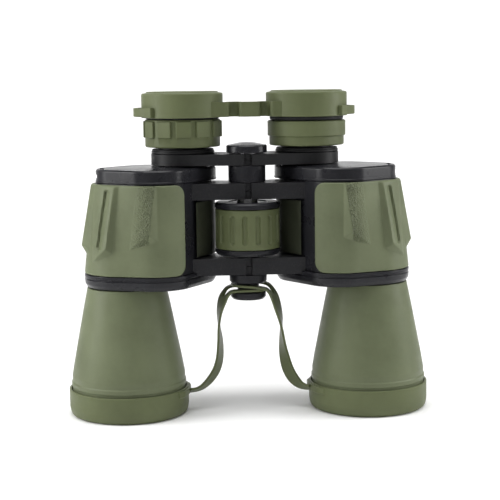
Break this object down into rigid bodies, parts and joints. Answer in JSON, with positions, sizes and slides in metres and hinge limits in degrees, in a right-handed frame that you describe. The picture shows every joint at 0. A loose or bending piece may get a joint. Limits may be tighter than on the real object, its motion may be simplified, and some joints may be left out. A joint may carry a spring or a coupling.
{
  "type": "binoculars",
  "caption": "Porro-prism binoculars with a folding centre hinge, centre focus wheel, rubber armour, dioptre ring, and tethered lens caps.",
  "frame": {"origin": "on the floor under the middle of the two objective barrels, with the binoculars standing on their objective caps", "axes": "+X across the barrels, from the left half to the right half; -Y is the top side that carries the focus wheel; +Z along the optical axes, from the objectives to the eyepieces"},
  "size_m": [0.1938, 0.064, 0.1714],
  "materials": {
    "green_armor": "matt olive green rubber armour, smooth with a fine moulded leather grain on the middle grip rib",
    "green_pad": "matt dark olive rubber",
    "green_barrel": "matt olive green soft-touch coating, slightly satin",
    "green_cap": "matt olive green flexible moulded rubber",
    "green_ring": "matt olive green rubber grip",
    "green_strap": "matt olive green flexible moulded rubber, slightly satin",
    "black_satin": "satin black moulded plastic",
    "black_housing": "fine matt black paint on a die-cast alloy",
    "black_anodised": "matt black anodised",
    "black_rubber": "matt black soft rubber",
    "steel": "plain turned steel",
    "clear_glass": "polished optical glass",
    "coated_glass": "polished optical glass with a reddish anti-reflection coating"
  },
  "bodies": {
    "left_half": {"left_prism_housing": "black_housing", "left_rubber_armor": "green_armor", "left_inner_pad": "green_pad", "left_top_cover": "black_satin", "left_lower_flange": "black_satin", "left_prism_shelf": "black_anodised", "left_upper_prism": "clear_glass", "left_lower_prism": "clear_glass", "left_objective_barrel": "green_barrel", "left_crown_lens": "coated_glass", "left_flint_lens": "clear_glass", "left_lens_ring": "black_anodised", "left_cap_tether": "green_strap", "hinge_axle": "steel", "hinge_collar": "black_satin", "hinge_foot": "black_satin"},
    "right_half": {"right_prism_housing": "black_housing", "right_rubber_armor": "green_armor", "right_inner_pad": "green_pad", "right_top_cover": "black_satin", "right_lower_flange": "black_satin", "right_prism_shelf": "black_anodised", "right_upper_prism": "clear_glass", "right_lower_prism": "clear_glass", "right_objective_barrel": "green_barrel", "right_crown_lens": "coated_glass", "right_flint_lens": "clear_glass", "right_lens_ring": "black_anodised", "right_cap_tether": "green_strap"},
    "focus_wheel": {"focus_wheel_hub": "black_satin", "focus_wheel_grip": "green_armor"},
    "focus_carriage": {"focus_spindle": "steel", "focus_drive_pin": "steel", "bridge_knob": "black_satin", "left_bridge_arm": "black_housing", "left_eyepiece_tube": "black_satin", "left_field_lens": "clear_glass"},
    "right_eyepiece": {"right_bridge_arm": "black_housing", "right_eyepiece_tube": "black_satin", "right_field_lens": "clear_glass", "right_ocular_cell": "black_anodised", "right_eye_lens": "coated_glass", "right_eyepiece_ring": "green_ring", "right_eyecup": "black_rubber"},
    "dioptre_cell": {"left_ocular_cell": "black_anodised", "left_eye_lens": "coated_glass"},
    "dioptre_ring": {"left_dioptre_ring": "green_ring", "left_eyecup": "black_rubber"},
    "left_eyepiece_cap": {"left_eyepiece_cap": "green_cap", "eyepiece_cap_link": "green_strap"},
    "right_eyepiece_cap": {"right_eyepiece_cap": "green_cap"},
    "left_objective_cap": {"left_objective_cap": "green_cap"},
    "right_objective_cap": {"right_objective_cap": "green_cap"},
    "socket_stud": {"socket_cover_stud": "steel"},
    "socket_cover": {"socket_cover": "black_satin"}
  },
  "joints": [
    {"name": "ipd_fold", "type": "hinge", "parent": "left_half", "child": "right_half", "pos_m": [0, -0.002, 0], "axis": [0, 0, 1], "range_deg": [-16, 30]},
    {"name": "focus_turn", "type": "hinge", "parent": "left_half", "child": "focus_wheel", "pos_m": [0, -0.002, 0], "axis": [0, 0, 1], "range_deg": [0, 300]},
    {"name": "focus_travel", "type": "slide", "parent": "left_half", "child": "focus_carriage", "axis": [0, 0, 1], "range_m": [0, 0.008]},
    {"name": "right_eyepiece_turn", "type": "hinge", "parent": "focus_carriage", "child": "right_eyepiece", "pos_m": [0, -0.002, 0], "axis": [0, 0, 1], "range_deg": [-16, 30]},
    {"name": "dioptre_turn", "type": "hinge", "parent": "dioptre_cell", "child": "dioptre_ring", "pos_m": [-0.0334, 0.01, 0], "axis": [0, 0, 1], "range_deg": [-50, 50]},
    {"name": "dioptre_travel", "type": "slide", "parent": "focus_carriage", "child": "dioptre_cell", "axis": [0, 0, 1], "range_m": [-0.0008, 0.0008]},
    {"name": "eyepiece_cap_pull", "type": "slide", "parent": "focus_carriage", "child": "left_eyepiece_cap", "axis": [0, 0, 1], "range_m": [0, 0.03]},
    {"name": "right_eyepiece_cap_turn", "type": "hinge", "parent": "left_eyepiece_cap", "child": "right_eyepiece_cap", "pos_m": [0, -0.002, 0], "axis": [0, 0, 1], "range_deg": [-16, 30]},
    {"name": "left_objective_cap_pull", "type": "slide", "parent": "left_half", "child": "left_objective_cap", "axis": [0, 0, -1], "range_m": [0, 0.02]},
    {"name": "right_objective_cap_pull", "type": "slide", "parent": "right_half", "child": "right_objective_cap", "axis": [0, 0, -1], "range_m": [0, 0.02]},
    {"name": "socket_cover_turn", "type": "hinge", "parent": "socket_stud", "child": "socket_cover", "pos_m": [0, -0.002, 0], "axis": [0, 0, -1], "range_deg": [0, 720]},
    {"name": "socket_cover_travel", "type": "slide", "parent": "left_half", "child": "socket_stud", "axis": [0, 0, -1], "range_m": [0, 0.00254]}
  ],
  "couplings": [
    {"joint": "focus_turn", "follows": "focus_travel", "rad_per_m": 654.49},
    {"joint": "right_eyepiece_turn", "follows": "ipd_fold", "ratio": 1},
    {"joint": "right_eyepiece_cap_turn", "follows": "ipd_fold", "ratio": 1},
    {"joint": "dioptre_turn", "follows": "dioptre_travel", "rad_per_m": 1090.8},
    {"joint": "socket_cover_turn", "follows": "socket_cover_travel", "rad_per_m": 4947.3}
  ]
}
